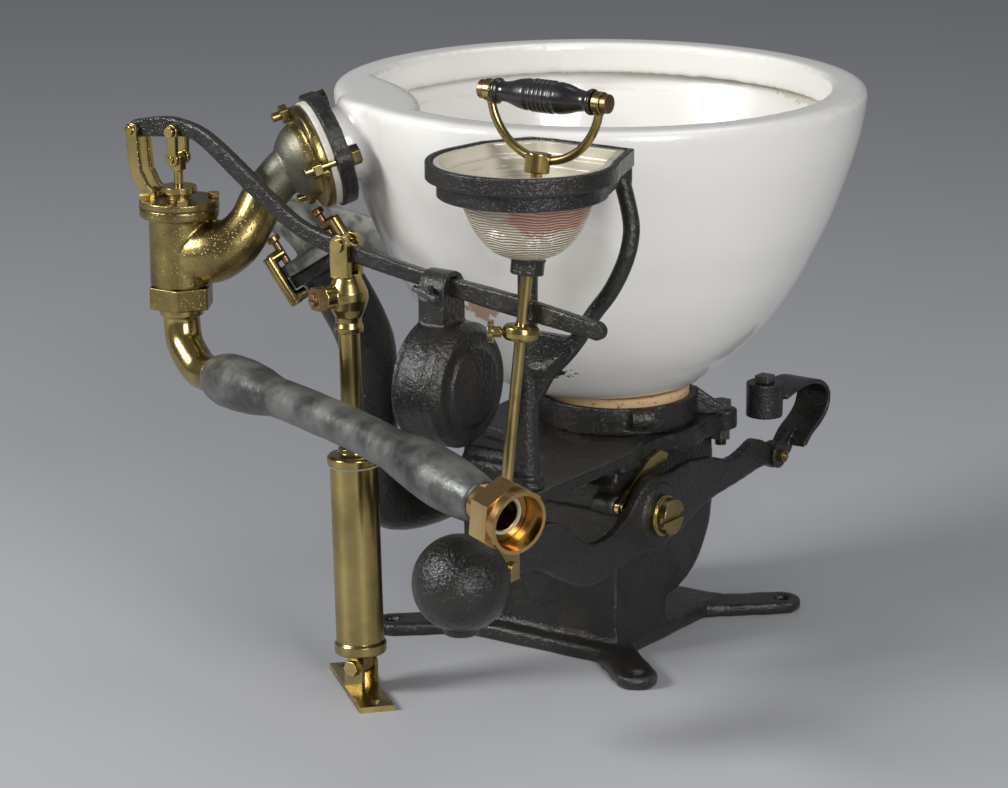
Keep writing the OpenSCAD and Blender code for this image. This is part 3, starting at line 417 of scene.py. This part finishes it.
# %% [markdown]
# ### Black-leaded cast iron
# The box, the levers, the weights and the trap are sand castings rubbed with black lead, a graphite polish.
# It fills the skin without hiding it and leaves a greasy shine. So the colour is nearly black, slightly
# metallic, the roughness low, and the bump strong: every lump carries its own glint. Brown shows through in
# patches, and corners are rubbed to grey.

# %% Black-leaded cast iron
blacking, worn_blacking = (0.010, 0.0093, 0.0082), (0.028, 0.0255, 0.0215)
rust_brown, rubbed_grey = (0.04, 0.021, 0.016), (0.10, 0.097, 0.093)
leaded = Finish("cast_iron", metallic=0.2)
leaded.shader.inputs["Specular IOR Level"].default_value = 0.6
tone = leaded.place(drift, Scale=34.0, Color_A=blacking, Color_B=worn_blacking, Amount=0.5, Contrast=0.22)
brown = leaded.place(drift, Scale=17.0, Color_A=BLACK, Color_B=WHITE, Amount=0.3, Contrast=0.07)
rubbed = leaded.place(wear, Start=0.53, End=0.6)
pebbles = leaded.place(skin, Lump_Scale=270.0, Grain_Scale=900.0, Grain=0.45, Pits=0.3)
base = leaded.mix(brown.outputs["Mask"], tone.outputs["Color"], rust_brown)
leaded.paint(leaded.mix(rubbed.outputs["Mask"], base, rubbed_grey))
leaded.rough(tone.outputs["Mask"], 0.13, 0.26)
leaded.bump(pebbles.outputs["Height"], 0.9, 0.0012)
iron = leaded.mat
print("finish:", iron.name)


# %% [markdown]
# ### Brass
# Brass that is handled stays yellow on its edges, turns olive where air reaches it and brown in the hollows.
# Two colours drift, a third stains the surface, and the corners are rubbed bright. The stain also sets the
# roughness, since tarnish is duller than metal. Three mixes are needed: the old brass of the fittings, the
# brighter one of the union, and a coppery one for the ends of the grip.

# %% Brass finishes
rubbed_yellow = (0.62, 0.48, 0.21)


def brass_finish(name, light, dark, tarnish, rough=(0.2, 0.38), pits=0.1, bump=0.25):
    f = Finish(name, metallic=1.0)
    tone = f.place(drift, Scale=35.0, Color_A=light, Color_B=dark, Amount=0.5, Contrast=0.2)
    stain = f.place(drift, Scale=13.0, Color_A=BLACK, Color_B=WHITE, Amount=0.45, Contrast=0.12)
    rubbed = f.place(wear, Start=0.53, End=0.62)
    grain = f.place(skin, Lump_Scale=45.0, Grain_Scale=900.0, Grain=0.15, Pits=pits)
    stained = f.mix(stain.outputs["Mask"], tone.outputs["Color"], tarnish)
    f.paint(f.mix(rubbed.outputs["Mask"], stained, rubbed_yellow))
    f.color = stained
    f.rough(stain.outputs["Mask"], *rough)
    f.bump(grain.outputs["Height"], bump, 0.0005)
    return f


old_brass = (0.47, 0.365, 0.145), (0.35, 0.27, 0.10), (0.19, 0.145, 0.06)
brass = brass_finish("old_brass", *old_brass).mat
bright_brass = brass_finish("bright_brass", (0.62, 0.41, 0.17), (0.50, 0.30, 0.11), (0.32, 0.18, 0.07)).mat
copper = brass_finish("coppery_brass", (0.38, 0.23, 0.11), (0.26, 0.15, 0.07), (0.15, 0.09, 0.05),
                      rough=(0.3, 0.5)).mat
print("finishes:", brass.name, bright_brass.name, copper.name)

# %% [markdown]
# ### Horn studs
# The studs of the flushing horn have brass nuts, but iron heads behind the ring. Both ends are one piece, so
# a spot in the material parts them: inside it, round the heads, the brass is dark.

# %% Horn studs: brass nuts, iron heads
studs = brass_finish("stud_brass", *old_brass)
heads = studs.place(spot, Centre=(-0.1233, -0.1454, 0.4037), Size=(0.056, 0.056, 0.056), Tear=0.0,
                    Tear_Scale=60.0)
studs.paint(studs.mix(heads.outputs["Mask"], studs.color, (0.03, 0.028, 0.026)))
stud_brass = studs.mat
print("finish:", stud_brass.name)

# %% [markdown]
# ### Valve body
# The supply valve is cast in a browner metal full of pinholes, so its skin has deep pits. The bell at the end
# of its outlet has gone dull and greenish grey. That is a spot again, which here sets the roughness too.

# %% Pitted bronze of the valve body, dull on its bell
pitted = brass_finish("pitted_gunmetal", (0.41, 0.315, 0.12), (0.29, 0.22, 0.08), (0.14, 0.105, 0.045),
                      pits=0.9, bump=0.5)
bell = pitted.place(spot, Centre=(-0.1646, -0.1982, 0.3834), Size=(0.031, 0.031, 0.031), Tear=0.3,
                    Tear_Scale=60.0)
pitted.paint(pitted.mix(bell.outputs["Mask"], pitted.color, (0.17, 0.165, 0.125)))
pitted.rough(bell.outputs["Mask"], 0.3, 0.5)
bronze = pitted.mat
print("finish:", bronze.name)


# %% [markdown]
# ### Glaze
# Glazed ware is a white body under a thin sheet of glass. A coat over a rougher base gives just that: a sharp
# mirror on top of a soft one. The surface swells a little, which a very low bump shows in the reflections.

# %% Glaze, and marks of age on it
def glaze(name, light, dark):
    f = Finish(name, coat=0.5)
    f.shader.inputs["Coat Roughness"].default_value = 0.06
    f.shader.inputs["Roughness"].default_value = 0.24
    tone = f.place(drift, Scale=5.0, Color_A=light, Color_B=dark, Amount=0.5, Contrast=0.35)
    swell = f.place(skin, Lump_Scale=7.0, Grain_Scale=60.0, Grain=0.05, Pits=0.0)
    f.bump(swell.outputs["Height"], 0.05, 0.001)
    f.color = tone.outputs["Color"]
    return f


def patch(f, color, centre, size, tear=0.9, scale=120.0, amount=1.0):
    mark = f.place(spot, Centre=centre, Size=size, Tear=tear, Tear_Scale=scale)
    part = node(f.tree, "Math", operation="MULTIPLY")
    part.inputs[1].default_value = amount
    f.link(mark.outputs["Mask"], part.inputs[0])
    f.color = f.mix(part.outputs[0], f.color, color)


# %% [markdown]
# ### The basin's white
# Under the flushing lip a darker level band runs all round the bowl, with a line of scale above it and a crust
# at its far end. Putty clings low down where the overflow enters, and there are black specks over the cork.
# Each mark is a patch
# at its own place. A flat wide patch makes a level line all round the bowl.

# %% White glaze of the basin
under_lip_band, scale_line, crust = (0.55, 0.50, 0.40), (0.42, 0.34, 0.22), (0.50, 0.41, 0.27)
brown_putty, pink_putty = (0.50, 0.30, 0.22), (0.62, 0.38, 0.28)
black_speck, grey_smear = (0.03, 0.03, 0.028), (0.60, 0.58, 0.50)
bowl_white = glaze("white_glaze", (0.83, 0.815, 0.775), (0.79, 0.77, 0.72))
# A darker level band all round the bowl, just under the flushing lip.
patch(bowl_white, under_lip_band, (-0.019, 0.003, 0.3905), (0.19, 0.19, 0.0065), 0.35, 40.0, 0.8)
patch(bowl_white, scale_line, (-0.019, 0.003, 0.4012), (0.188, 0.188, 0.0036), 0.45, 60.0, 0.6)
patch(bowl_white, crust, (0.05, 0.160, 0.400), (0.09, 0.026, 0.006), 1.6, 230.0, 0.5)
patch(bowl_white, brown_putty, (-0.026, -0.158, 0.277), (0.022, 0.012, 0.012), 1.2, 160.0)
patch(bowl_white, pink_putty, (-0.0815, -0.1252, 0.272), (0.0145, 0.0145, 0.014), 1.2, 90.0)
patch(bowl_white, black_speck, (0.012, -0.110, 0.225), (0.024, 0.010, 0.006), 2.6, 260.0)
patch(bowl_white, grey_smear, (0.045, -0.150, 0.315), (0.05, 0.03, 0.045), 1.2, 30.0, 0.35)
bowl_white.paint(bowl_white.color)
white_glaze = bowl_white.mat
print("finish:", white_glaze.name)

# %% [markdown]
# ### Combed cream ware of the cup
# The hand cup is cream inside and smooth. Outside, the potter's comb has left level ribs, with painted shade
# between the ridges and a salmon stain below the iron ring. One spot takes in the outside and a smaller one the
# inside.
# The first less the second is the combed part, and the ribs count only there.

# %% Where the cup is combed
cup_ware = glaze("cream_glaze", (0.66, 0.62, 0.51), (0.60, 0.55, 0.44))
comb = cup_ware.place(ribs, Pitch=0.0021, Wander=0.006)
under = cup_ware.place(spot, Centre=(0.088, -0.258, 0.368), Size=(0.09, 0.09, 0.045), Tear=0.0,
                       Tear_Scale=30.0)
inside = cup_ware.place(spot, Centre=(0.088, -0.258, 0.405), Size=(0.0435, 0.0435, 0.042), Tear=0.0,
                        Tear_Scale=30.0)
outer = node(cup_ware.tree, "Math", operation="SUBTRACT", use_clamp=True)
cup_ware.link(under.outputs["Mask"], outer.inputs[0])
cup_ware.link(inside.outputs["Mask"], outer.inputs[1])
lined = node(cup_ware.tree, "Math", operation="MULTIPLY")
cup_ware.link(comb.outputs["Height"], lined.inputs[0])
cup_ware.link(outer.outputs[0], lined.inputs[1])

# %% Colours of the combed ware, with painted shade in the grooves
groove_end, ridge_start = 0.22, 0.5
cream_ridge, salmon_ridge = (0.74, 0.67, 0.53), (0.62, 0.36, 0.26)
# Painted shade: the two groove colours darken the ware between the ridges.
brown_painted_shade, red_painted_shade = (0.30, 0.21, 0.12), (0.20, 0.08, 0.05)
shade = node(cup_ware.tree, "MapRange", clamp=True)
shade.inputs["From Min"].default_value, shade.inputs["From Max"].default_value = groove_end, ridge_start
cup_ware.link(lined.outputs[0], shade.inputs["Value"])
salmon = cup_ware.place(spot, Centre=(0.130, -0.280, 0.394), Size=(0.042, 0.045, 0.016), Tear=1.4,
                        Tear_Scale=50.0)
ridges = cup_ware.mix(salmon.outputs["Mask"], cream_ridge, salmon_ridge)
groove_painted_shade = cup_ware.mix(salmon.outputs["Mask"], brown_painted_shade, red_painted_shade)
combed = cup_ware.mix(shade.outputs["Result"], ridges, groove_painted_shade)
cup_ware.paint(cup_ware.mix(outer.outputs[0], cup_ware.color, combed))
cup_ware.bump(lined.outputs[0], 1.0, 0.003)
cream_glaze = cup_ware.mat
print("finish:", cream_glaze.name)


# %% [markdown]
# ### Lead, paint, cork, wood and leather
# The other finishes are one drift of two colours over one grain, with their own scales. Lead is a soft grey
# metal with broad pale patches. Cork has small dark crumbs. Ebonised wood is black under a thin coat.
# The floor goes through the same function, with one colour and no grain.

# %% Other finishes
def plain(name, light, dark, scale, rough, lump=0.0004, metallic=0.0, coat=0.0, contrast=0.15,
          strength=0.5, amount=0.5, grain_scale=700.0):
    f = Finish(name, metallic=metallic, coat=coat)
    tone = f.place(drift, Scale=scale, Color_A=light, Color_B=dark, Amount=amount, Contrast=contrast)
    grain = f.place(skin, Lump_Scale=90.0, Grain_Scale=grain_scale, Grain=0.4, Pits=0.1)
    f.paint(tone.outputs["Color"])
    f.rough(tone.outputs["Mask"], rough, rough + 0.15)
    f.bump(grain.outputs["Height"], strength, lump)
    return f.mat


lead = plain("dull_lead", (0.065, 0.068, 0.064), (0.19, 0.195, 0.18), 34.0, 0.34, metallic=0.6,
             contrast=0.13, lump=0.0009, grain_scale=420.0)
painted_lead = plain("worn_paint", (0.40, 0.40, 0.36), (0.17, 0.17, 0.16), 75.0, 0.5, contrast=0.07)
cork = plain("cork", (0.60, 0.40, 0.22), (0.13, 0.06, 0.03), 210.0, 0.8, lump=0.0014, contrast=0.06,
             amount=0.36)
ebony = plain("ebonised_wood", (0.008, 0.0075, 0.0078), (0.018, 0.015, 0.015), 60.0, 0.2, lump=0.0001,
              coat=0.4)
leather = plain("oiled_leather", (0.10, 0.045, 0.02), (0.05, 0.022, 0.012), 90.0, 0.6)
washer = plain("pale_washer", (0.66, 0.63, 0.56), (0.48, 0.45, 0.38), 70.0, 0.6)
verdigris = plain("verdigris", (0.30, 0.38, 0.30), (0.44, 0.48, 0.38), 120.0, 0.7)
seam = plain("dark_seam", (0.015, 0.012, 0.008), (0.03, 0.022, 0.012), 90.0, 0.6)
floor_grey = (0.42, 0.425, 0.44)
floor_paint = plain("pale_floor", floor_grey, floor_grey, 1.0, 0.5, lump=0.0, strength=0.0)
floor.data.materials.append(floor_paint)
print("finishes:", len(bpy.data.materials))

# %% [markdown]
# ### Finishes on the CAD pieces
# The record names a material slot for each CAD piece. A table turns the slot into a finish, so a piece and the
# shape that later stands for it always agree.

# %% Finishes of the CAD pieces
finish_of = {
    "glazed_white": white_glaze, "glazed_cream": cream_glaze, "iron": iron, "brass": brass,
    "bronze": bronze, "copper_brown": copper, "cork": cork, "leather": leather, "ebonised_wood": ebony,
    "lead": lead, "painted_lead": painted_lead, "pale_rubber": washer,
}
slot_of = {s["node"]: s["material_slot"] for s in frame["record"]["subparts"]}
for name, obj in frame["nodes"].items():
    obj.data.materials.clear()
    obj.data.materials.append(finish_of[slot_of[name]])
print("CAD pieces finished:", len(slot_of))


# %% [markdown]
# ## Pieces made from the CAD shapes
# The CAD pieces have the right sizes and places, but every edge is as sharp as a drawing. Modelling them anew
# could drift from those sizes, so each visible piece starts as a copy of its CAD mesh with the doubled points
# merged. It then stands for that CAD piece and rides on the same moving body.

# %% Helpers for copies
MM = 0.001


def apply(piece, kind, **settings):
    select_only(piece)
    m = piece.modifiers.new(kind.lower(), kind)
    for key, value in settings.items():
        setattr(m, key, value)
    bpy.ops.object.modifier_apply(modifier=m.name)


def copy_of(name):
    piece = bpy.data.objects.new(name + "_form", frame["nodes"][name].data.copy())
    scene.collection.objects.link(piece)
    edit(piece)
    bpy.ops.mesh.remove_doubles(threshold=0.01 * MM)
    done()
    return piece


def stand_for(piece, name, finish=None):
    piece.data.materials.clear()
    piece.data.materials.append(finish or finish_of[slot_of[name]])
    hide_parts(name)
    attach(piece, frame["nodes"][name]["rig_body"])
    return piece


# %% [markdown]
# ### Machined pieces
# Bolts, pins, the barrel and the union were turned or filed, with flat faces and a small broken edge. Flat
# triangles are first joined to whole faces, because a bevel needs real edges. The bevel then rounds each edge
# sharper than 32 degrees, and weighted normals keep the flats flat.

# %% Machined pieces
flat_within, sharp_from, smooth_under = math.radians(1.0), math.radians(32), math.radians(38)


def machined(name, width, finish=None, segments=2):
    piece = copy_of(name)
    edit(piece)
    bpy.ops.mesh.dissolve_limited(angle_limit=flat_within)
    done()
    apply(piece, "BEVEL", width=width * MM, segments=segments, limit_method="ANGLE",
          angle_limit=sharp_from, use_clamp_overlap=True)
    select_only(piece)
    bpy.ops.object.shade_smooth_by_angle(angle=smooth_under)
    apply(piece, "WEIGHTED_NORMAL", keep_sharp=True)
    return stand_for(piece, name, finish)


edge_mm = {
    "cover_bolts": 0.9, "valve_shaft": 0.8, "flap_arm": 1.0, "flap_disc": 1.0, "flap_leather": 0.6,
    "strap_screw": 0.8, "strap_pin": 0.4, "catch": 0.5, "catch_pin": 0.3, "rod_fork": 0.8,
    "fork_pin": 0.4, "collar_screw": 0.4, "lever_pins": 0.4, "weight_screw": 0.4, "regulator_foot": 0.6,
    "foot_pin": 0.5, "barrel": 0.4, "plunger": 0.3, "head_screw": 0.5, "cover_screws": 0.5,
    "clamp_screws": 0.9,
}
for name, width in edge_mm.items():
    machined(name, width)
machined("pull_rod", 0.3, brass)
machined("union_tail", 0.5, bright_brass)
machined("union_nut", 0.8, bright_brass, segments=3)
machined("horn_studs", 0.6, stud_brass)
print("machined pieces:", len(edge_mm) + 4)


# %% [markdown]
# ### Cast pieces
# A casting has no sharp corner anywhere: metal doesn't fill one, and use wears the outer ones. Beveling every
# edge of such a shape breaks down where many meet. A voxel remesh in small cells, relaxed a few times, fills
# the inner corners and wears the outer ones all at once, and clouds of noise push the faces in and out. A cell
# has to be well under the wall's thickness, and a foot is pressed flat on the floor again.

# %% Helper for castings
lump_noise = bpy.data.textures.new("lumps", "CLOUDS")
lump_noise.noise_scale = 0.03
lump_noise.noise_depth = 2


def cast(name, cell, relax, lump=0.0, finish=None, extra=()):
    piece = copy_of(name)
    if extra:
        select_only(piece, *extra)
        bpy.ops.object.join()
    apply(piece, "REMESH", mode="VOXEL", voxel_size=cell * MM)
    apply(piece, "SMOOTH", factor=0.5, iterations=relax)
    if lump:
        apply(piece, "DISPLACE", texture=lump_noise, texture_coords="LOCAL", strength=lump * MM,
              mid_level=0.5)
    for v in piece.data.vertices:
        v.co.z = max(v.co.z, 0.0)
    select_only(piece)
    bpy.ops.object.shade_smooth()
    return stand_for(piece, name, finish)


# %% [markdown]
# ### Small turned and filed pieces
# Nuts, links, the turned grip and the valve cover are small and softly worn, with beads and coves that a bevel
# would spoil. They go through the same helper in cells of about half a millimetre, with no lumps.

# %% Small turned and filed pieces
small_cells = {
    "shaft_bush": (0.6, 2), "hub_nut": (0.5, 1), "lift_collar": (0.4, 2), "grip": (0.6, 2),
    "barrel_cap": (0.5, 1), "valve_cover": (0.6, 1), "fulcrum_bracket": (0.6, 1), "gland_nut": (0.35, 1),
    "spindle": (0.45, 1), "links": (0.4, 1), "inlet_nut": (0.7, 1), "horn_gasket": (0.8, 1),
}
for name, (cell, relax) in small_cells.items():
    cast(name, cell, relax)
print("small pieces:", len(small_cells))


# %% [markdown]
# ## Seams and green rings
# Where two brass parts meet, dirt draws a dark line and damp draws a green one. Each is a thin ring of its
# own, set in the joint. A painted line would do from afar, but a ring also catches the light. The rings find
# their places from the CAD pieces, so they stay right when a size changes.

# %% Helpers for places and rings
X, Z = Vector((1, 0, 0)), Vector((0, 0, 1))


def middle_of(name):
    vertices = frame["nodes"][name].data.vertices
    return sum((v.co for v in vertices), Vector()) / len(vertices)


def ends_of(name, axis):
    along = [v.co.dot(axis) for v in frame["nodes"][name].data.vertices]
    return min(along), max(along)


def wire_ring(name, centre, axis, radius, wire):
    deselect()
    turn = Vector(axis).to_track_quat("Z", "Y").to_euler()
    bpy.ops.mesh.primitive_torus_add(location=centre, rotation=turn, major_segments=96, minor_segments=12,
                                     major_radius=radius * MM, minor_radius=wire * MM)
    piece = bpy.context.object
    piece.name = name
    bpy.ops.object.transform_apply(location=True, rotation=True, scale=True)
    bpy.ops.object.shade_smooth()
    return piece


def joint_ring(name, on, centre, axis, radius, wire, finish):
    """A ring that is a piece of its own and moves with the CAD piece that it lies on."""
    piece = wire_ring(name, centre, axis, radius, wire)
    piece.data.materials.clear()
    piece.data.materials.append(finish)
    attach(piece, frame["nodes"][on]["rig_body"])


# %% Green line under the barrel's cap
stem = (middle_of("barrel_cap") - middle_of("barrel")).normalized()
cap_at = middle_of("barrel_cap")
cap_at += stem * (ends_of("barrel_cap", stem)[0] - cap_at.dot(stem))
joint_ring("cap_verdigris", "barrel_cap", cap_at - stem * 0.3 * MM, stem, 18.3, 0.8, verdigris)
print("cap line at", [round(v, 4) for v in cap_at])

# %% Seam under the valve cover
cover_at = middle_of("valve_cover")
cover_at.z = ends_of("valve_cover", Z)[0]
joint_ring("cover_seam", "valve_cover", cover_at, Z, 29.7, 0.55, seam)
print("cover seam at", [round(v, 4) for v in cover_at])

# %% Green ring in the mouth of the union
tail_axis = (middle_of("union_nut") - middle_of("union_tail")).normalized()
tail_at = middle_of("union_tail")
tail_at += tail_axis * (ends_of("union_tail", tail_axis)[1] - tail_at.dot(tail_axis))
joint_ring("tail_verdigris", "union_tail", tail_at, tail_axis, 13.0, 1.1, verdigris)
print("union ring at", [round(v, 4) for v in tail_at])


# %% [markdown]
# ## Ends of the grip
# The rod through the grip ends in two round nuts with domed faces and a raised rim. A flattened sphere makes
# each dome and a ring of wire its rim. They are joined to the copy, and a fine remesh melts them into one
# skin, which a boolean would do with sharper, more fragile seams.

# %% Ends of the grip
dome_r, dome_flat, dome_in = 6.9, 0.42, 2.2
rim_r, rim_wire, rim_in = 4.3, 0.9, 0.4


def flat_ball(centre, radius, flat, segments):
    """A ball flattened along X."""
    deselect()
    bpy.ops.mesh.primitive_uv_sphere_add(segments=segments, ring_count=segments // 2, radius=radius * MM,
                                         location=centre)
    ball = bpy.context.object
    ball.scale = (flat, 1, 1)
    bpy.ops.object.transform_apply(location=True, rotation=True, scale=True)
    return ball


nuts_at = middle_of("grip_nuts")
domes = []
for x, way in zip(ends_of("grip_nuts", X), (-1, 1)):
    dome_at = Vector((x - way * dome_in * MM, nuts_at.y, nuts_at.z))
    rim_at = Vector((x - way * rim_in * MM, nuts_at.y, nuts_at.z))
    domes += [flat_ball(dome_at, dome_r, dome_flat, 32), wire_ring("rim", rim_at, X, rim_r, rim_wire)]
cast("grip_nuts", 0.4, 2, finish=copper, extra=domes)
print("grip ends at", [round(x, 4) for x in ends_of("grip_nuts", X)])

# %% [markdown]
# ## Drum weight
# The drum on the supply lever is cast with a rolled edge at the back, a groove in its side and a swollen face.
# The plain CAD drum gets a bead of wire, a second ring at the groove's lip and a shallow dome, and goes through
# the casting helper with them, so that all three grow out of the iron without a seam.

# %% Drum weight
drum_r, bead_in, lip_in, face_in = 46, 3.2, 25, 35
back = ends_of("drum_weight", X)[0]
drum_at = Vector((back, sum(ends_of("drum_weight", Vector((0, 1, 0)))) / 2,
                  ends_of("drum_weight", Z)[0] + drum_r * MM))
bead = wire_ring("bead", drum_at + X * bead_in * MM, X, 45.0, 2.4)
groove_lip = wire_ring("groove_edge", drum_at + X * lip_in * MM, X, 44.6, 2.0)
face = flat_ball(drum_at + X * face_in * MM, 41, 0.21, 64)
cast("drum_weight", 1.0, 3, 0.5, extra=(bead, groove_lip, face))
print("drum at", [round(v, 4) for v in drum_at])

# %% [markdown]
# ## Castings, tubes and ware
# These are the large shapes: the box and its cover, the levers and weights, the lead pipe with its wiped
# joints, the curved valve body, the cork and the cup. Each has its own cell in millimetres, number of
# relaxings and height of lumps: a wiped joint is lumpy, and a filed lever hardly at all.

# %% Castings, tubes and ware
castings = {
    "valve_box": (2.2, 7, 1.8), "cover_plate": (1.7, 4, 1.2), "basin_collar": (1.4, 3, 0.8),
    "weight_lever": (1.4, 4, 0.8), "supply_lever": (1.1, 3, 0.4), "ball_weight": (1.3, 4, 0.8),
    "lever_strap": (0.9, 2, 0.3), "cup_standard": (1.0, 3, 0.2), "cup_ring": (0.9, 2, 0.3),
    "horn_ring": (1.2, 3, 0.5), "overflow_trap": (1.7, 6, 0.8), "overflow_arm": (1.7, 5, 0.8),
    "supply_body": (1.2, 5, 0.2), "lead_pipe": (1.5, 5, 1.2), "inlet_elbow": (1.0, 4, 0.2),
    "regulator_head": (0.6, 2, 0.0), "bail": (0.6, 2, 0.0), "trap_clamps": (0.7, 2, 0.2),
    "cork_ring": (1.5, 2, 1.6), "cup": (1.0, 2, 0.0),
}
for name, (cell, relax, lump) in castings.items():
    cast(name, cell, relax, lump)
print("castings:", len(castings))

# %% [markdown]
# ## Basin
# The basin is thick glazed ware whose every edge is rounded by the glaze that ran over it. Relaxing rounds
# them in the same way. It is by far the largest piece, so its cells are the coarsest, which keeps it under
# two hundred thousand triangles without a facet to be seen.

# %% Basin
cast("basin", 3.2, 5)

# %% Count
counts = {o.name: sum(len(f.vertices) - 2 for f in o.data.polygons) for o in scene.objects
          if o.type == "MESH" and o.visible_get()}
print("triangles:", sum(counts.values()), "largest:", sorted(counts.items(), key=lambda c: -c[1])[:4])
